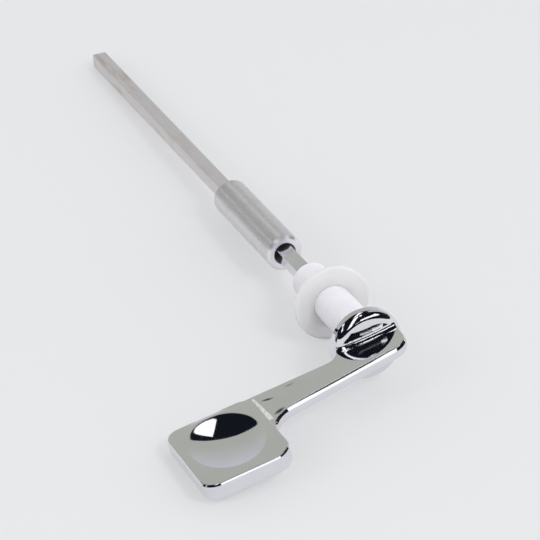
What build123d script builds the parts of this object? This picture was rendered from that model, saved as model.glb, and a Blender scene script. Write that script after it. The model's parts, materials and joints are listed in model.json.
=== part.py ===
from build123d import *
import os
from math import cos, radians, sin, sqrt

# Cistern lever with a clamped threaded bush and a coupled extension rod.
# The spindle runs along +Y, into the cistern. The arm runs along -X and the
# paddle's dished face looks up, along +Z. The origin lies on the spindle's
# axis, in the plane of the panel's outer face. All sizes are millimetres.

# Square drive, shared by the spindle and the extension rod
square_side = 6.35
square_edge = 0.4

# Paddle
lever_reach = 93.8
lever_set_back = 11.8
paddle_width = 38.6
paddle_depth = 46.4
paddle_thick = 7.8
paddle_rise = 0.4
paddle_corner = 6.5
paddle_heel_corner = 9.0
paddle_bevel_run = 0.5
paddle_bevel_drop = 0.75
paddle_edge = 0.35
paddle_foot_edge = 2.0

# Finger dish in the paddle
dish_width = 30.6
dish_length = 37.6
dish_depth = 2.2
dish_shift = 1.7

# Arm
arm_top = 3.75
arm_thick = 5.0
arm_width_at_boss = 12.0
arm_width_at_paddle = 19.4
arm_overhang = 11.7
arm_end_flare = 0.8
arm_end_corner = 9.0
arm_bevel_run = 0.85
arm_bevel_drop = 1.3
arm_edge = 0.6
arm_foot_edge = 1.5
arm_root_inset = 1.6
neck_fillet = 6.0
neck_flare = 1.6
notch_fillet = 12.0

# Boss
boss_radius = 15.1
boss_depth = 7.55
boss_crown = 1.45
boss_shoulder = 3.9
boss_offset = 1.0
boss_drop = 0.7
boss_back_edge = 0.4
boss_cove = 2.6
boss_fillet = 1.0
crease_tolerance = 0.001
wall_gap = 1.7

# Spindle
journal_radius = 4.8
journal_tail = 2.6
spindle_length = 111.0
spindle_grip = 29.7
spindle_chamfer = 0.6

# Threaded bush
thread_radius = 8.0
bush_length = 55.6
bush_chamfer = 1.0
bush_flange_radius = 10.5
bush_flange_thick = 3.0
bush_flange_edge = 0.4
running_clearance = 0.05
recess_clearance = 0.35

# Back nut
nut_place = 31.2
nut_flange_radius = 16.3
nut_flange_thick = 3.0
nut_flange_edge = 1.0
nut_across_flats = 21.0
nut_hub_length = 7.0
nut_hub_edge = 0.8
thread_clearance = 0.08

# Retaining clip
clip_radius = 6.4
clip_thick = 0.9
clip_band = 1.3
clip_opening = 100.0
clip_groove_depth = 0.8
clip_clearance = 0.05
clip_end_play = 0.2
clip_prong = 2.0
clip_prong_inset = 20.0

# Coupling sleeve
sleeve_radius = 8.0
sleeve_length = 62.0
sleeve_bore_radius = 4.95
sleeve_bore_end_gap = 6.3
sleeve_mouth_chamfer = 1.2
sleeve_back_edge = 2.0

# Grub screw
grub_radius = 2.5
grub_length = 4.2
grub_place = 15.0
grub_socket = 2.5
grub_socket_depth = 2.0
grub_cup = 0.5
grub_clearance = 0.05

# Extension rod
rod_insert = 21.0
rod_reach = 165.0
rod_chamfer = 0.8
rod_turn = 10.7
rod_clearance = 0.08

# Places worked out from the sizes above
boss_back = -wall_gap
boss_front = boss_back - boss_depth
lever_rear = -lever_set_back
arm_foot = arm_top - arm_thick
paddle_left = -lever_reach
paddle_right = paddle_left + paddle_width
paddle_middle = (paddle_left + paddle_right) / 2
paddle_front = lever_rear - paddle_depth
paddle_centre = (lever_rear + paddle_front) / 2
paddle_top = arm_top + paddle_rise
arm_root = boss_back - boss_depth / 3
boss_left = -boss_offset - boss_radius
neck_side = boss_left - neck_flare
recess_floor = -bush_flange_thick - recess_clearance
journal_end = bush_length + journal_tail
groove_start = bush_length + clip_end_play
groove_radius = journal_radius - clip_groove_depth
sleeve_place = spindle_length - spindle_grip
sleeve_back = sleeve_place + sleeve_length
square_half = square_side / 2
square_corner = (square_half - square_edge) * sqrt(2) + square_edge


def along_spindle(start):
    """Plane across the spindle at a place on it, with its normal along +Y."""
    return Plane(origin=(0, start, 0), x_dir=(1, 0, 0), z_dir=(0, 1, 0))


def rod_along_spindle(radius, start, end):
    """Round bar about the spindle's axis."""
    return extrude(along_spindle(start) * Circle(radius), end - start)


def square_bar(start, end, end_chamfer):
    """Square bar with eased long edges and a chamfered far end."""
    bar = extrude(along_spindle(start) * Rectangle(square_side, square_side), end - start)
    bar = chamfer(bar.faces().sort_by(Axis.Y)[-1].edges(), end_chamfer)
    return fillet(bar.edges().filter_by(Axis.Y), square_edge)


def boss_body():
    """Crowned round boss, set a little off the spindle's axis, down and towards the paddle."""
    crown_radius = (boss_radius**2 + boss_crown**2) / (2 * boss_crown)
    front_corner = (boss_radius, boss_front + boss_crown)
    with BuildSketch() as profile:
        with BuildLine():
            Line((0, boss_back), (boss_radius, boss_back))
            Line((boss_radius, boss_back), front_corner)
            RadiusArc(front_corner, (0, boss_front), crown_radius)
            Line((0, boss_front), (0, boss_back))
        make_face()
        outer = profile.vertices().group_by(Axis.X)[-1].sort_by(Axis.Y)
        fillet(outer[0], boss_shoulder)
        outer = profile.vertices().group_by(Axis.Y)[-1].sort_by(Axis.X)
        fillet(outer[-1], boss_back_edge)
    return Pos(-boss_offset, 0, -boss_drop) * revolve(profile.sketch, Axis.Y)


def round_corner(plan, corner, radius):
    """Rounds the corner of a plan outline that lies at a given place."""
    fillet(plan.vertices().sort_by_distance(corner)[0], radius)


def bevelled_top(body, run, drop, edge):
    """Steep bevel round a body's flat top, with its upper edge eased."""
    top = body.faces().sort_by(Axis.Z)[-1]
    body = chamfer(top.edges(), run, drop, reference=top)
    return fillet(body.faces().sort_by(Axis.Z)[-1].edges(), edge)


def arm_plan():
    """Outline of the arm, with its neck at the boss and its flare into the paddle."""
    taper = (arm_width_at_paddle - arm_width_at_boss) / -paddle_right
    front_at_end = lever_rear - arm_width_at_boss + taper * arm_overhang
    front_at_paddle = lever_rear - arm_width_at_paddle
    with BuildSketch() as plan:
        with BuildLine():
            Polyline(
                (arm_overhang + arm_end_flare, arm_root),
                (arm_overhang, front_at_end),
                (paddle_right, front_at_paddle),
                (paddle_right, paddle_front + paddle_heel_corner),
                (paddle_middle, paddle_front + paddle_heel_corner),
                (paddle_middle, lever_rear),
                (neck_side, lever_rear),
                (boss_left + arm_root_inset, arm_root),
                close=True,
            )
        make_face()
        round_corner(plan, (arm_overhang, front_at_end), arm_end_corner)
        round_corner(plan, (paddle_right, front_at_paddle), notch_fillet)
        round_corner(plan, (neck_side, lever_rear), neck_fillet)
    return plan.sketch


def arm_plate():
    """Flat arm with a bevelled top."""
    plate = extrude(Plane.XY.offset(arm_foot) * arm_plan(), arm_thick)
    plate = bevelled_top(plate, arm_bevel_run, arm_bevel_drop, arm_edge)
    return fillet(plate.faces().sort_by(Axis.Z)[0].edges(), arm_foot_edge)


def paddle_body():
    """Rounded paddle, thicker than the arm that carries it."""
    with BuildSketch() as plan:
        with Locations((paddle_middle, paddle_centre)):
            Rectangle(paddle_width, paddle_depth)
        round_corner(plan, (paddle_right, paddle_front), paddle_heel_corner)
        for corner in ((paddle_left, paddle_front), (paddle_left, lever_rear), (paddle_right, lever_rear)):
            round_corner(plan, corner, paddle_corner)
    body = extrude(Plane.XY.offset(paddle_top - paddle_thick) * plan.sketch, paddle_thick)
    body = bevelled_top(body, paddle_bevel_run, paddle_bevel_drop, paddle_edge)
    return fillet(body.faces().sort_by(Axis.Z)[0].edges(), paddle_foot_edge)


def finger_dish():
    """Ball, squeezed across the paddle, that sinks the oval dish in its top."""
    half = dish_length / 2
    ball_radius = (half**2 + dish_depth**2) / (2 * dish_depth)
    ball = scale(Sphere(ball_radius), by=(dish_width / dish_length, 1, 1))
    return Pos(paddle_middle, paddle_centre + dish_shift, paddle_top - dish_depth + ball_radius) * ball


def shared_edges(first, second):
    """Edges along which the skins of two joined bodies cross."""
    middles = [(edge, edge.position_at(0.5)) for edge in (first + second).edges()]
    touching = [edge for edge, middle in middles if max(distances(middle, first, second)) < crease_tolerance]
    return touching


def distances(point, *bodies):
    """Distance of a point from each of several bodies."""
    return [body.distance_to(point) for body in bodies]


def boss_cove_fill(boss):
    """Wide cove between the arm's flat top and the boss's face, ended at the arm's bevels."""
    block = Box(2 * lever_reach, paddle_depth, arm_thick, align=(Align.CENTER, Align.MAX, Align.MAX))
    slab = Pos(0, arm_root, arm_top) * block
    crease = [edge for edge in shared_edges(boss, slab) if edge.center().Z > arm_top - crease_tolerance]
    column = extrude(Plane.XY.offset(arm_foot) * offset(arm_plan(), -arm_bevel_run), arm_thick + boss_cove)
    return fillet(crease, boss_cove) & column


def lever_handle():
    """Cast handle: paddle, arm, boss and spindle in one piece."""
    boss = boss_body()
    arm = arm_plate()
    head = fillet(shared_edges(boss, arm), boss_fillet) + boss_cove_fill(boss)
    head = head + paddle_body() - finger_dish()
    recess_radius = bush_flange_radius + recess_clearance
    head -= rod_along_spindle(recess_radius, recess_floor, 0)
    journal = rod_along_spindle(journal_radius, recess_floor, journal_end)
    clip_groove = rod_along_spindle(
        journal_radius, groove_start, groove_start + clip_thick + 2 * clip_clearance
    ) - rod_along_spindle(groove_radius, groove_start, journal_end)
    spindle = square_bar(recess_floor, spindle_length, spindle_chamfer)
    return head + (journal - clip_groove) + spindle


def threaded_bush():
    """Nylon bush: a flange that bears on the panel and a threaded barrel."""
    barrel = rod_along_spindle(thread_radius, 0, bush_length)
    barrel = chamfer(barrel.faces().sort_by(Axis.Y)[-1].edges(), bush_chamfer)
    flange = rod_along_spindle(bush_flange_radius, -bush_flange_thick, 0)
    flange = fillet(flange.edges().filter_by(GeomType.CIRCLE), bush_flange_edge)
    bore_radius = journal_radius + running_clearance
    return barrel + flange - rod_along_spindle(bore_radius, -bush_flange_thick, bush_length)


def back_nut():
    """Flanged hexagon nut that clamps the panel against the bush's flange."""
    flange_end = nut_place + nut_flange_thick
    flange = rod_along_spindle(nut_flange_radius, nut_place, flange_end)
    flange = fillet(flange.edges().filter_by(GeomType.CIRCLE), nut_flange_edge)
    hexagon = RegularPolygon(nut_across_flats / 2, 6, major_radius=False)
    hub = extrude(along_spindle(flange_end - nut_flange_edge) * hexagon, nut_hub_length + nut_flange_edge)
    hub = fillet(hub.edges().filter_by(Axis.Y), nut_hub_edge)
    hub = fillet(hub.faces().sort_by(Axis.Y)[-1].edges(), nut_hub_edge)
    bore_radius = thread_radius + thread_clearance
    return flange + hub - rod_along_spindle(bore_radius, nut_place, flange_end + nut_hub_length)


def retaining_clip():
    """Spring clip with three prongs that seat in the journal's groove."""
    plane = along_spindle(groove_start + clip_clearance)
    inner = clip_radius - clip_band
    ring = Circle(clip_radius) - Circle(inner)
    half = radians(clip_opening / 2)
    mouth = Polyline(
        (0, 0),
        (2 * clip_radius * cos(half), 2 * clip_radius * sin(half)),
        (2 * clip_radius * cos(half), -2 * clip_radius * sin(half)),
        close=True,
    )
    band = ring - make_face(mouth)
    seat_radius = groove_radius + clip_clearance
    reach = (inner + clip_radius) / 2
    prong = Pos(reach / 2, 0) * Rectangle(reach, clip_prong) - Circle(seat_radius)
    prong_turn = 180 - (clip_opening / 2 + clip_prong_inset)
    for turn in (180 - prong_turn, 180, 180 + prong_turn):
        band += Rot(0, 0, turn) * prong
    return extrude(plane * band, clip_thick)


def grub_axis_plane(reach):
    """Plane across the grub screw at a distance from the spindle's axis, facing +X."""
    return Plane(origin=(reach, sleeve_place + grub_place, 0), x_dir=(0, 1, 0), z_dir=(1, 0, 0))


def coupling_sleeve():
    """Turned sleeve: open bore for the spindle, blind seat for the rod."""
    body = rod_along_spindle(sleeve_radius, sleeve_place, sleeve_back)
    body = fillet(body.faces().sort_by(Axis.Y)[-1].edges(), sleeve_back_edge)
    body = chamfer(body.faces().sort_by(Axis.Y)[0].edges(), sleeve_mouth_chamfer)
    body -= rod_along_spindle(sleeve_bore_radius, sleeve_place, spindle_length + sleeve_bore_end_gap)
    body -= rod_along_spindle(square_corner + rod_clearance, sleeve_back - rod_insert, sleeve_back)
    return body - extrude(grub_axis_plane(0) * Circle(grub_radius + grub_clearance), sleeve_radius)


def grub_screw():
    """Socket grub screw that bears on the spindle's flat."""
    screw = extrude(grub_axis_plane(square_half) * Circle(grub_radius), grub_length)
    screw = chamfer(screw.faces().sort_by(Axis.X)[0].edges(), grub_cup)
    socket = RegularPolygon(grub_socket / 2, 6, major_radius=False)
    mouth = square_half + grub_length
    return screw - extrude(grub_axis_plane(mouth) * socket, -grub_socket_depth)


def extension_rod():
    """Square rod that carries the turn on to the flush gear."""
    bar = square_bar(sleeve_back - rod_insert, sleeve_back + rod_reach, rod_chamfer)
    return bar.rotate(Axis.Y, rod_turn)


pieces = {
    "lever_handle": lever_handle(),
    "threaded_bush": threaded_bush(),
    "back_nut": back_nut(),
    "retaining_clip": retaining_clip(),
    "coupling_sleeve": coupling_sleeve(),
    "grub_screw": grub_screw(),
    "extension_rod": extension_rod(),
}

os.makedirs("parts", exist_ok=True)
for node, solid in pieces.items():
    solid.label = node
    export_step(solid, f"parts/{node}.step")
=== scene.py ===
import json
from math import cos, pi, radians, sin

import bpy
from mathutils import Matrix, Vector


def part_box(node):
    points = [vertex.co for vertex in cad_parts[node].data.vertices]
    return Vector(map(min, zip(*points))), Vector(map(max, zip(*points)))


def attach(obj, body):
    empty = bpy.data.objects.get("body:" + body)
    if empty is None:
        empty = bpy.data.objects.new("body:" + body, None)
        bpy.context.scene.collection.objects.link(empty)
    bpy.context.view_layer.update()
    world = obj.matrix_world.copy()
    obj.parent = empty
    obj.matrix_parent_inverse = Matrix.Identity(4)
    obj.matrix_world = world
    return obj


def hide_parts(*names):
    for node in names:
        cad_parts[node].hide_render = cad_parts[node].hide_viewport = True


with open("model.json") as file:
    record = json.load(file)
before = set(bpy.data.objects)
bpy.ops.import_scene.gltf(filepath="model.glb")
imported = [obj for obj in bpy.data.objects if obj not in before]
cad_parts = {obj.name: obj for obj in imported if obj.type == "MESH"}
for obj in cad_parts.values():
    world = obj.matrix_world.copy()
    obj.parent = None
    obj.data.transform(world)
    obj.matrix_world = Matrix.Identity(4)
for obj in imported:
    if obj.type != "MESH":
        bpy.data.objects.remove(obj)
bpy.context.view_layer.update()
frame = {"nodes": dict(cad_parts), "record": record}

# Camera, fitted to the photograph: metres in the part's frame, lens and sensor in millimetres
CAMERA_PLACE = (-0.3292, -1.1179, 0.7501)
CAMERA_RIGHT = (0.8925, -0.3859, -0.2337)
CAMERA_BACK = (-0.2209, -0.8255, 0.5194)
CAMERA_LENS = 229.85
CAMERA_SENSOR = 36.0

# Table that the lever lies on: it touches the nut, the rod's tip and the paddle's corner
TABLE_UP = Vector((0.1642, -0.0476, 0.9853)).normalized()
TABLE_LEVEL = -0.0179
TABLE_HALF = 3.0
TABLE_COLOUR = (0.451, 0.4565, 0.459, 1.0)
TABLE_GLOW_COLOUR = (0.99, 1.0, 1.01, 1.0)
TABLE_GLOW = 0.3645

# Light from all round, from the horizon to the zenith, and the backdrop that is seen instead of it
SKY_COLOUR = (0.985, 0.98, 1.0, 1.0)
SKY_AT_HORIZON = 1.53
SKY_AT_ZENITH = 0.46
BACKDROP_COLOUR = (0.985, 0.99, 1.0, 1.0)
BACKDROP = 0.82

# Studio: distances from the object in metres, and the shares of the wall's height where its colour changes
LAMP_DISTANCE = 2.4
TUBE_DISTANCE = 3.8
WALL_DISTANCE = 4.0
SWEEP_DISTANCE = 4.05
PANEL_DISTANCE = 4.1
DARK_DISTANCE = 4.2
CARD_STEPS = 24
WALL_GRADE = (0.3, 0.9)

# Nylon bush, metres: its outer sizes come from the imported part
BUSH_MOUNT = next(mount for mount in frame["record"]["mounts"] if mount["name"] == "bush_in_panel")
BUSH_LOW, BUSH_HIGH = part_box("threaded_bush")
BUSH_LENGTH = BUSH_MOUNT["dims"]["length_mm"] / 1000
BUSH_RADIUS = BUSH_MOUNT["dims"]["r_mm"] / 1000
BUSH_BORE = 0.00485
BUSH_CHAMFER = 0.001
BUSH_SIDES = 128
BUSH_SHARP_ANGLE = 50
FLANGE_RADIUS = BUSH_HIGH[0]
FLANGE_THICK = -BUSH_LOW[1]
FLANGE_EDGE = 0.0004
FLANGE_EDGE_STEPS = 3
THREAD_PITCH = 0.0015
THREAD_DEPTH = 0.0007
THREAD_LEAD_IN = 0.0012
ROWS_PER_PITCH = 8

# Dish's rounded rim, and the pale band of painted highlight between arm and paddle
DISH_MIDDLE = (-0.0745, -0.0255, 0.0041)
DISH_REACH = (0.0182, 0.0135, 0.02)
DISH_RIM = 0.0035
BAND_SIDE = -0.0556
BAND_FRONT = -0.0323
BAND_REAR = -0.0142
BAND_FOOT = 0.003
BAND_WIDTH = 0.0021
BAND_TIP = 0.001

# Arm's front top edge, rounded over more than in the solid
EDGE_MIDDLE = (-0.0188, -0.0248, 0.0045)
EDGE_REACH = (0.03, 0.0035, 0.0013)
EDGE_TURN = 7.6
EDGE_ROUND = 0.0013
EDGE_SAMPLES = 32

# Dark painted reflections in the chrome beside the band, for mirrored dark things: middle, half sizes, turn,
# share
PAINTED_REFLECTION_COLOUR = (0.03, 0.035, 0.03)
CHROME_PAINTED_REFLECTIONS = (
    ((-0.0505, -0.0185, 0.0038), (0.003, 0.0009, 0.004), -14, 0.95),
    ((-0.0497, -0.0291, 0.0038), (0.0034, 0.0013, 0.004), 21, 0.95),
    ((-0.0395, -0.0155, 0.0038), (0.0026, 0.0008, 0.004), 0, 0.4),
)

# Places along Y: the sleeve's mouth, where a highlight is painted, and the run over which the rod's stains
# grow
MOUTH_START, MOUTH_END = 0.0815, 0.0829
STAIN_START, STAIN_END = 0.16, 0.29


class Shader:
    """A material with a Principled shader, and short ways to add and join nodes."""

    def __init__(self, name):
        self.material = bpy.data.materials.new(name)
        self.material.use_nodes = True
        self.nodes = self.material.node_tree.nodes
        self.links = self.material.node_tree.links
        self.bsdf = self.nodes["Principled BSDF"]
        self.place = self.nodes.new("ShaderNodeTexCoord").outputs["Object"]

    def set(self, **values):
        """Constants on the shader's own sockets."""
        for key, value in values.items():
            self.bsdf.inputs[key.replace("_", " ")].default_value = value

    def join(self, source, target):
        self.links.new(source, target)

    def stretched(self, scale):
        """Place in the part's frame, scaled along each axis."""
        mapping = self.nodes.new("ShaderNodeMapping")
        mapping.inputs["Scale"].default_value = scale
        self.join(self.place, mapping.inputs["Vector"])
        return mapping.outputs["Vector"]

    def patch(self, centre, half, turn):
        """One at the middle of a long patch, falling evenly to nought at its edge."""
        mapping = self.nodes.new("ShaderNodeMapping")
        mapping.vector_type = "TEXTURE"
        mapping.inputs["Location"].default_value = centre
        mapping.inputs["Rotation"].default_value = (0, 0, radians(turn))
        mapping.inputs["Scale"].default_value = half
        self.join(self.place, mapping.inputs["Vector"])
        ball = self.nodes.new("ShaderNodeTexGradient")
        ball.gradient_type = "SPHERICAL"
        self.join(mapping.outputs["Vector"], ball.inputs["Vector"])
        return ball.outputs["Fac"]

    def noise(self, scale, detail=3.0, roughness=0.5, vector=None):
        node = self.nodes.new("ShaderNodeTexNoise")
        node.inputs["Scale"].default_value = scale
        node.inputs["Detail"].default_value = detail
        node.inputs["Roughness"].default_value = roughness
        self.join(vector or self.place, node.inputs["Vector"])
        return node.outputs["Fac"]

    def ramp(self, source, *stops):
        """Colour that follows a value through stops of (position, colour)."""
        node = self.nodes.new("ShaderNodeValToRGB")
        elements = node.color_ramp.elements
        for element, (position, colour) in zip(elements, stops):
            element.position = position
            element.color = (*colour, 1.0)
        self.join(source, node.inputs["Fac"])
        return node.outputs["Color"]

    def spread(self, source, low, high, start=0.3, end=0.7):
        """Value that goes from low to high while the source goes from start to end."""
        node = self.nodes.new("ShaderNodeMapRange")
        for key, value in (("From Min", start), ("From Max", end), ("To Min", low), ("To Max", high)):
            node.inputs[key].default_value = value
        self.join(source, node.inputs["Value"])
        return node.outputs["Result"]

    def math(self, operation, first, second):
        node = self.nodes.new("ShaderNodeMath")
        node.operation = operation
        for socket, value in zip(node.inputs, (first, second)):
            if isinstance(value, (int, float)):
                socket.default_value = value
            else:
                self.join(value, socket)
        return node.outputs["Value"]

    def mix(self, factor, first, second):
        """The first colour, turning to the second as the factor goes to one."""
        node = self.nodes.new("ShaderNodeMix")
        node.data_type = "RGBA"
        self.join(factor, node.inputs["Factor"])
        self.join(first, node.inputs["A"])
        node.inputs["B"].default_value = (*second, 1.0)
        return node.outputs["Result"]

    def along(self, axis):
        """Place along one axis of the part's frame, in metres."""
        node = self.nodes.new("ShaderNodeSeparateXYZ")
        self.join(self.place, node.inputs["Vector"])
        return node.outputs[axis]

    def bump(self, height, depth, under=None):
        node = self.nodes.new("ShaderNodeBump")
        node.inputs["Strength"].default_value = 1.0
        node.inputs["Distance"].default_value = depth
        self.join(height, node.inputs["Height"])
        if under:
            self.join(under, node.inputs["Normal"])
        return node.outputs["Normal"]

    def eased(self, radius):
        """Normal that rounds sharp edges over."""
        node = self.nodes.new("ShaderNodeBevel")
        node.samples = EDGE_SAMPLES
        self.join(radius, node.inputs["Radius"])
        return node.outputs["Normal"]

    def finish(self, colour, roughness, normal):
        self.join(colour, self.bsdf.inputs["Base Color"])
        self.join(roughness, self.bsdf.inputs["Roughness"])
        self.join(normal, self.bsdf.inputs["Normal"])
        return self.material


def chrome_plate():
    """Polished chrome with dark painted reflections and a pale painted highlight beside the paddle, and two
    edges rounded over.
    """
    shader = Shader("chrome_plate")
    cloud = shader.noise(70.0, detail=4.0)
    colour = shader.ramp(cloud, (0.3, (0.77, 0.765, 0.81)), (0.7, (0.81, 0.805, 0.85)))
    roughness = shader.spread(shader.noise(220.0, detail=5.0, roughness=0.6), 0.02, 0.05)
    wave = shader.noise(90.0, detail=1.0)
    # Painted reflections: near-black patches in the chrome beside the band, standing in for mirrored dark
    # things
    for centre, half, turn, share in CHROME_PAINTED_REFLECTIONS:
        painted_reflection = shader.spread(shader.patch(centre, half, turn), 0.0, share, start=0.0, end=0.7)
        colour = shader.mix(painted_reflection, colour, PAINTED_REFLECTION_COLOUR)
    # Painted highlight: a pale, speckled, less metallic band where the arm meets the paddle, for light
    # caught on the step's slope
    highlight_speckle = shader.spread(shader.noise(1700.0), 0.3, 1.0, start=0.35, end=0.6)
    painted_highlight = shader.math("MULTIPLY", painted_highlight_band(shader), highlight_speckle)
    shader.join(shader.math("SUBTRACT", 1.0, painted_highlight), shader.bsdf.inputs["Metallic"])
    colour = shader.mix(painted_highlight, colour, (0.8, 0.85, 0.79))
    near_dish = shader.math("GREATER_THAN", shader.patch(DISH_MIDDLE, DISH_REACH, 0), 0.0)
    near_edge = shader.math("GREATER_THAN", shader.patch(EDGE_MIDDLE, EDGE_REACH, EDGE_TURN), 0.0)
    dish_rim = shader.math("MULTIPLY", near_dish, DISH_RIM)
    arm_edge = shader.math("MULTIPLY", near_edge, EDGE_ROUND)
    rounded = shader.eased(shader.math("ADD", dish_rim, arm_edge))
    return shader.finish(colour, roughness, shader.bump(wave, depth=0.00002, under=rounded))


def painted_highlight_band(shader):
    """One on the pale band of painted highlight where the arm meets the paddle, wider towards the front."""
    across, along, up = shader.along("X"), shader.along("Y"), shader.along("Z")
    width = shader.spread(along, BAND_WIDTH, BAND_TIP, BAND_FRONT, BAND_REAR)
    band = shader.math("LESS_THAN", shader.math("SUBTRACT", across, BAND_SIDE), width)
    for side, operation, limit in (
        (across, "GREATER_THAN", BAND_SIDE),
        (along, "GREATER_THAN", BAND_FRONT),
        (along, "LESS_THAN", BAND_REAR),
        (up, "GREATER_THAN", BAND_FOOT),
    ):
        band = shader.math("MULTIPLY", band, shader.math(operation, side, limit))
    return band


def white_nylon():
    """White moulding, with shade painted a little darker down in the thread."""
    shader = Shader("white_nylon")
    shader.set(Subsurface_Weight=0.1, Subsurface_Radius=(1.0, 1.0, 1.0), Subsurface_Scale=0.0003)
    cloud = shader.noise(160.0, detail=4.0)
    plain = shader.ramp(cloud, (0.3, (0.89, 0.885, 0.92)), (0.7, (0.93, 0.925, 0.955)))
    reach = shader.nodes.new("ShaderNodeVectorMath")
    reach.operation = "LENGTH"
    shader.join(shader.stretched((1.0, 0.0, 1.0)), reach.inputs[0])
    # Painted shade: the colour darkens towards the bottom of each thread groove
    painted_groove_shade = shader.spread(reach.outputs["Value"], 0.3, 0.0, BUSH_RADIUS - THREAD_DEPTH, BUSH_RADIUS)
    colour = shader.mix(painted_groove_shade, plain, (0.45, 0.43, 0.48))
    roughness = shader.spread(shader.noise(900.0), 0.38, 0.5)
    normal = shader.bump(shader.noise(2500.0, detail=2.0), depth=0.00001)
    return shader.finish(colour, roughness, normal)


def milky_nylon():
    """Pale moulding that lets some light through."""
    shader = Shader("milky_nylon")
    shader.set(Subsurface_Weight=0.6, Subsurface_Radius=(1.0, 1.0, 1.0), Subsurface_Scale=0.003)
    shader.set(Transmission_Weight=0.3, IOR=1.15)
    cloud = shader.noise(110.0, detail=4.0)
    colour = shader.ramp(cloud, (0.3, (0.9, 0.9, 0.905)), (0.7, (0.94, 0.94, 0.945)))
    roughness = shader.spread(shader.noise(700.0), 0.32, 0.45)
    normal = shader.bump(shader.noise(1800.0, detail=2.0), depth=0.00001)
    return shader.finish(colour, roughness, normal)


def turned_aluminium():
    """Satin metal with a fine grain, darker clouds and a painted highlight on the mouth."""
    shader = Shader("turned_aluminium")
    grain = shader.noise(1.0, detail=5.0, roughness=0.75, vector=shader.stretched((1500.0, 700.0, 1500.0)))
    cloud = shader.noise(140.0, detail=5.0, roughness=0.6)
    metal = shader.ramp(grain, (0.35, (0.63, 0.625, 0.625)), (0.7, (0.86, 0.855, 0.855)))
    colour = shader.mix(shader.spread(cloud, 0.0, 0.3, start=0.45, end=0.75), metal, (0.56, 0.54, 0.56))
    # Painted highlight: the colour turns pale and slightly less metallic at the sleeve's mouth
    mouth_highlight = shader.spread(shader.along("Y"), 1.0, 0.0, MOUTH_START, MOUTH_END)
    colour = shader.mix(mouth_highlight, colour, (0.92, 0.9, 0.95))
    metallic = shader.spread(shader.along("Y"), 0.75, 0.7, MOUTH_START, MOUTH_END)
    shader.join(metallic, shader.bsdf.inputs["Metallic"])
    around = shader.nodes.new("ShaderNodeTangent")
    around.axis = "Y"
    shader.join(around.outputs["Tangent"], shader.bsdf.inputs["Tangent"])
    shader.set(Anisotropic=0.85, Anisotropic_Rotation=0.25)
    roughness = shader.spread(grain, 0.28, 0.4)
    return shader.finish(colour, roughness, shader.bump(grain, depth=0.00002))


def drawn_rod():
    """Satin metal with lengthwise lines, and brown stains that grow towards the tip."""
    shader = Shader("drawn_rod")
    lines = shader.noise(1.0, detail=5.0, roughness=0.65, vector=shader.stretched((2200.0, 12.0, 2200.0)))
    stain = shader.noise(1.0, detail=5.0, roughness=0.6, vector=shader.stretched((260.0, 60.0, 260.0)))
    towards_tip = shader.spread(shader.along("Y"), 0.25, 1.0, STAIN_START, STAIN_END)
    stained = shader.math("MULTIPLY", shader.spread(stain, 0.0, 0.55, start=0.48, end=0.75), towards_tip)
    metal = shader.ramp(lines, (0.25, (0.63, 0.61, 0.605)), (0.75, (0.8, 0.78, 0.775)))
    colour = shader.mix(stained, metal, (0.42, 0.31, 0.23))
    shader.join(shader.spread(lines, 0.68, 0.78), shader.bsdf.inputs["Metallic"])
    roughness = shader.spread(lines, 0.36, 0.5)
    return shader.finish(colour, roughness, shader.bump(lines, depth=0.000014))


def spring_steel():
    shader = Shader("spring_steel")
    shader.set(Metallic=1.0)
    grain = shader.noise(1500.0, detail=4.0)
    colour = shader.ramp(grain, (0.3, (0.36, 0.36, 0.38)), (0.7, (0.46, 0.46, 0.48)))
    return shader.finish(colour, shader.spread(grain, 0.25, 0.4), shader.bump(grain, depth=0.000006))


def black_steel():
    shader = Shader("black_steel")
    shader.set(Metallic=1.0)
    grain = shader.noise(1800.0, detail=4.0)
    colour = shader.ramp(grain, (0.3, (0.02, 0.02, 0.022)), (0.7, (0.05, 0.05, 0.055)))
    return shader.finish(colour, shader.spread(grain, 0.35, 0.5), shader.bump(grain, depth=0.000006))


def mesh_object(name, vertices, faces, material, smooth=True):
    mesh = bpy.data.meshes.new(name)
    mesh.from_pydata(vertices, [], faces)
    mesh.materials.append(material)
    mesh.polygons.foreach_set("use_smooth", [smooth] * len(mesh.polygons))
    mesh.update()
    made = bpy.data.objects.new(name, mesh)
    bpy.context.scene.collection.objects.link(made)
    return made


def bush_rows():
    """The bush's half section, round from its bore: (place along Y, radius, share of the thread's depth)."""
    end, edge, front = BUSH_LENGTH, FLANGE_EDGE, -FLANGE_THICK
    turns = [step / FLANGE_EDGE_STEPS * pi / 2 for step in range(FLANGE_EDGE_STEPS + 1)]
    rows = [(front, BUSH_BORE, 0.0)]
    rows += [(front + edge * (1 - cos(turn)), FLANGE_RADIUS - edge * (1 - sin(turn)), 0.0) for turn in turns]
    rows += [(-edge * (1 - sin(turn)), FLANGE_RADIUS - edge * (1 - cos(turn)), 0.0) for turn in turns]
    count = round(end / THREAD_PITCH * ROWS_PER_PITCH)
    for k in range(count + 1):
        y = end * k / count
        share = min(1.0, y / THREAD_LEAD_IN)
        rows.append((y, min(BUSH_RADIUS, BUSH_RADIUS - BUSH_CHAMFER + (end - y)), share))
    return rows + [(end, BUSH_BORE, 0.0)]


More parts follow.
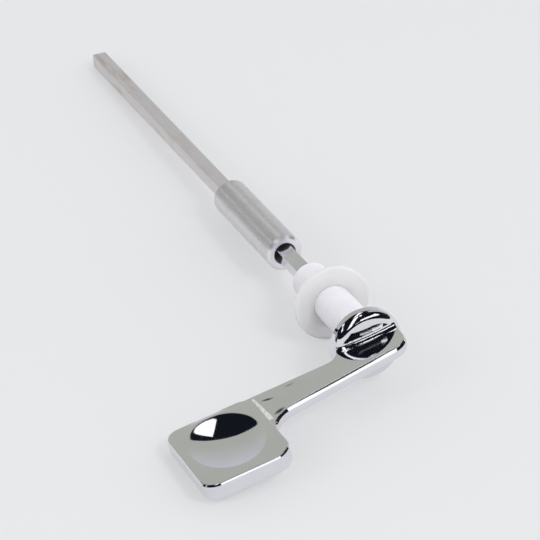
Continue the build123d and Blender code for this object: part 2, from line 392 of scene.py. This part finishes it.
def bush_piece(material):
    """Nylon bush with its fine thread: rings of points whose radius follows the helix."""
    rows = bush_rows()
    vertices = []
    for y, radius, share in rows:
        for k in range(BUSH_SIDES):
            angle = 2 * pi * k / BUSH_SIDES
            phase = 2 * pi * y / THREAD_PITCH - angle
            groove = THREAD_DEPTH * share * (0.5 - 0.5 * cos(phase))
            r = max(min(radius, BUSH_RADIUS - groove), BUSH_BORE) if share else radius
            vertices.append((r * sin(angle), y, r * cos(angle)))
    faces = []
    for row in range(len(rows)):
        here = row * BUSH_SIDES
        after = (row + 1) % len(rows) * BUSH_SIDES
        for k in range(BUSH_SIDES):
            beside = (k + 1) % BUSH_SIDES
            faces.append((here + k, after + k, after + beside, here + beside))
    bush = mesh_object("bush_threaded", vertices, faces, material)
    bush.data.set_sharp_from_angle(angle=radians(BUSH_SHARP_ANGLE))
    return bush


def heading(azimuth, elevation):
    """Direction at an azimuth from +Y towards +X and an elevation, in degrees."""
    a, e = radians(azimuth), radians(elevation)
    return Vector((sin(a) * cos(e), cos(a) * cos(e), sin(e)))


def card_glow(name, colour, strength, foot=None):
    """Glow of a studio card, graded to another colour at its foot where that is given."""
    material = bpy.data.materials.new(name)
    material.use_nodes = True
    nodes, links = material.node_tree.nodes, material.node_tree.links
    nodes.remove(nodes["Principled BSDF"])
    glow = nodes.new("ShaderNodeEmission")
    glow.inputs["Color"].default_value = (*colour, 1.0)
    glow.inputs["Strength"].default_value = strength
    if foot:
        height = nodes.new("ShaderNodeSeparateXYZ")
        links.new(nodes.new("ShaderNodeTexCoord").outputs["Generated"], height.inputs["Vector"])
        grade = nodes.new("ShaderNodeValToRGB")
        for element, place, shade in zip(grade.color_ramp.elements, WALL_GRADE, (foot, colour)):
            element.position = place
            element.color = (*shade, 1.0)
        links.new(height.outputs["Z"], grade.inputs["Fac"])
        links.new(grade.outputs["Color"], glow.inputs["Color"])
    links.new(glow.outputs["Emission"], nodes["Material Output"].inputs["Surface"])
    return material


def reflected_only(card):
    """A studio card that polished surfaces mirror, and that neither lights nor hides anything."""
    card.visible_camera = False
    card.visible_diffuse = False
    card.visible_transmission = False
    card.visible_shadow = False


def dome_card(name, azimuths, elevations, radius, material, sag=None, up=Vector((0, 0, 1))):
    """Part of a sphere round the object. A flat wall's top edge sags away from the azimuth it faces."""
    tilt = Vector((0, 0, 1)).rotation_difference(up)
    vertices = []
    for i in range(CARD_STEPS + 1):
        for k in range(CARD_STEPS + 1):
            azimuth = azimuths[0] + (azimuths[1] - azimuths[0]) * k / CARD_STEPS
            top = elevations[1] if sag is None else elevations[1] * cos(radians(azimuth - sag))
            elevation = elevations[0] + (top - elevations[0]) * i / CARD_STEPS
            vertices.append(tilt @ heading(azimuth, elevation) * radius)
    width = CARD_STEPS + 1
    faces = [
        (i * width + k, i * width + k + 1, (i + 1) * width + k + 1, (i + 1) * width + k)
        for i in range(CARD_STEPS)
        for k in range(CARD_STEPS)
    ]
    reflected_only(mesh_object(name, vertices, faces, material))


def strip_card(name, start, end, half_width, radius, material):
    """Strip light along the arc between two headings."""
    across = start.cross(end).normalized() * radius * half_width
    vertices = []
    for k in range(CARD_STEPS + 1):
        middle = start.slerp(end, k / CARD_STEPS) * radius
        vertices += [middle - across, middle + across]
    faces = [(2 * k, 2 * k + 1, 2 * k + 3, 2 * k + 2) for k in range(CARD_STEPS)]
    reflected_only(mesh_object(name, vertices, faces, material))


def add_studio():
    """Cards that the chrome mirrors: a dark dome, walls, a pale sweep, small panels and strip lights."""
    dark = card_glow("room_dark", (0.55, 0.65, 1.0), 0.014)
    wall = card_glow("room_wall", (0.48, 0.495, 0.44), 1.0, foot=(0.63, 0.63, 0.7))
    side = card_glow("room_side", (0.98, 0.98, 1.0), 0.6)
    sweep = card_glow("room_sweep", (0.955, 0.98, 1.0), 0.88)
    brown = card_glow("room_brown", (0.3, 0.13, 0.08), 0.17)
    shelf = card_glow("room_shelf", (0.5, 0.5, 0.5), 0.8)
    tube = card_glow("room_tube", (1.0, 1.0, 1.0), 1.3)
    dim = card_glow("room_dim", (0.8, 0.95, 1.0), 0.2)

    dome_card("room_dark", (-180, 180), (-25, 90), DARK_DISTANCE, dark)
    dome_card("room_wall", (-32, 60), (-14, 41), WALL_DISTANCE, wall, sag=14)
    dome_card("room_sweep", (68, 275), (-25, 11), SWEEP_DISTANCE, sweep, up=TABLE_UP)
    for name, azimuths, elevations, distance, glow in (
        ("room_side", (50, 68), (-14, 49), PANEL_DISTANCE, side),
        ("room_door", (80, 95), (0, 21), PANEL_DISTANCE, brown),
        ("room_cupboard", (262, 300), (8, 23), PANEL_DISTANCE, brown),
        ("room_shelf", (300, 326), (7, 21), PANEL_DISTANCE, shelf),
        ("room_ledge", (300, 330), (-8, 8), PANEL_DISTANCE, shelf),
        ("tube_over", (62, 128), (73, 78), TUBE_DISTANCE, tube),
        ("tube_right", (104, 171), (26, 40), TUBE_DISTANCE, tube),
    ):
        dome_card(name, azimuths, elevations, distance, glow)
    for name, start, end, half_width, glow in (
        ("tube_rear", (27, 45.5), (2, 76), 5.5, tube),
        ("tube_front", (20, 84), (-157, 33), 7, tube),
        ("tube_tail", (171, 27.5), (182, 25.5), 1.2, tube),
        ("tube_low", (169.5, 20.8), (162, 21.15), 0.22, tube),
        ("tube_lower", (162, 21.15), (155.2, 22.1), 0.5, tube),
        ("tube_far", (152.5, 44.4), (149.3, 43.7), 0.35, tube),
        ("tube_dim", (169, 45.4), (153, 44.6), 0.22, dim),
        ("tube_left", (-33, 40), (-50, 46), 3.5, tube),
        ("tube_lefter", (-62, 47.5), (-96, 41), 3.5, tube),
    ):
        strip_card(name, heading(*start), heading(*end), radians(half_width), TUBE_DISTANCE, glow)


def seen_directly(nodes, links):
    """One for camera, glossy and transmission rays, and nought for the rays that light other surfaces."""
    path = nodes.new("ShaderNodeLightPath")
    seen = path.outputs["Is Camera Ray"]
    for kind in ("Is Glossy Ray", "Is Transmission Ray"):
        either = nodes.new("ShaderNodeMath")
        either.operation = "MAXIMUM"
        links.new(seen, either.inputs[0])
        links.new(path.outputs[kind], either.inputs[1])
        seen = either.outputs["Value"]
    return seen


def add_floor():
    """Pale table under the lever. Its glow is seen, but doesn't light the object."""
    material = bpy.data.materials.new("table")
    material.use_nodes = True
    nodes, links = material.node_tree.nodes, material.node_tree.links
    bsdf = nodes["Principled BSDF"]
    bsdf.inputs["Base Color"].default_value = TABLE_COLOUR
    bsdf.inputs["Roughness"].default_value = 1.0
    bsdf.inputs["Specular IOR Level"].default_value = 0.0
    bsdf.inputs["Emission Color"].default_value = TABLE_GLOW_COLOUR
    glow = nodes.new("ShaderNodeMath")
    glow.operation = "MULTIPLY"
    glow.inputs[1].default_value = TABLE_GLOW
    links.new(seen_directly(nodes, links), glow.inputs[0])
    links.new(glow.outputs["Value"], bsdf.inputs["Emission Strength"])
    right = TABLE_UP.orthogonal().normalized()
    ahead = TABLE_UP.cross(right)
    middle = TABLE_UP * TABLE_LEVEL
    corners = [
        middle + right * x * TABLE_HALF + ahead * y * TABLE_HALF
        for x, y in ((-1, -1), (1, -1), (1, 1), (-1, 1))
    ]
    mesh_object("table", corners, [(0, 1, 2, 3)], material, smooth=False)


def add_world():
    """Light from all round, stronger low down; the camera and mirrors see a pale backdrop."""
    world = bpy.data.worlds.new("studio")
    bpy.context.scene.world = world
    world.use_nodes = True
    nodes, links = world.node_tree.nodes, world.node_tree.links
    light = nodes["Background"]
    light.inputs["Color"].default_value = SKY_COLOUR
    aim = nodes.new("ShaderNodeSeparateXYZ")
    links.new(nodes.new("ShaderNodeTexCoord").outputs["Generated"], aim.inputs["Vector"])
    fall = nodes.new("ShaderNodeMapRange")
    fall.inputs["To Min"].default_value = SKY_AT_HORIZON
    fall.inputs["To Max"].default_value = SKY_AT_ZENITH
    links.new(aim.outputs["Z"], fall.inputs["Value"])
    links.new(fall.outputs["Result"], light.inputs["Strength"])
    backdrop = nodes.new("ShaderNodeBackground")
    backdrop.inputs["Color"].default_value = BACKDROP_COLOUR
    backdrop.inputs["Strength"].default_value = BACKDROP
    mix = nodes.new("ShaderNodeMixShader")
    links.new(seen_directly(nodes, links), mix.inputs["Fac"])
    links.new(light.outputs["Background"], mix.inputs[1])
    links.new(backdrop.outputs["Background"], mix.inputs[2])
    links.new(mix.outputs["Shader"], nodes["World Output"].inputs["Surface"])


def add_lamp(name, aim, size, power, colour):
    """Square softbox that lights the object from afar."""
    data = bpy.data.lights.new(name, "AREA")
    data.shape = "SQUARE"
    data.size = size
    data.energy = power
    data.color = colour
    lamp = bpy.data.objects.new(name, data)
    lamp.location = aim * LAMP_DISTANCE
    lamp.rotation_mode = "QUATERNION"
    lamp.rotation_quaternion = (-aim).to_track_quat("-Z", "Y")
    lamp.visible_glossy = False
    bpy.context.scene.collection.objects.link(lamp)


def add_camera():
    data = bpy.data.cameras.new("camera")
    data.sensor_width = CAMERA_SENSOR
    data.sensor_fit = "HORIZONTAL"
    data.lens = CAMERA_LENS
    back = Vector(CAMERA_BACK).normalized()
    up = back.cross(Vector(CAMERA_RIGHT)).normalized()
    right = up.cross(back)
    camera = bpy.data.objects.new("camera", data)
    turn = Matrix((right, up, back)).transposed().to_4x4()
    camera.matrix_world = Matrix.Translation(CAMERA_PLACE) @ turn
    bpy.context.scene.collection.objects.link(camera)
    bpy.context.scene.camera = camera


bpy.context.scene.view_settings.view_transform = "Standard"
add_camera()
add_floor()
add_world()
add_lamp("softbox_right", heading(150, 39), size=0.6, power=11.0, colour=(0.99, 0.985, 1.0))
add_lamp("softbox_left", heading(-100, 42), size=0.8, power=5.5, colour=(1.0, 0.985, 0.96))
add_studio()

for node, finish in (
    ("lever_handle", chrome_plate),
    ("back_nut", milky_nylon),
    ("coupling_sleeve", turned_aluminium),
    ("extension_rod", drawn_rod),
    ("retaining_clip", spring_steel),
    ("grub_screw", black_steel),
):
    frame["nodes"][node].material_slots[0].material = finish()

bush = bush_piece(white_nylon())
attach(bush, "bush")
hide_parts("threaded_bush")
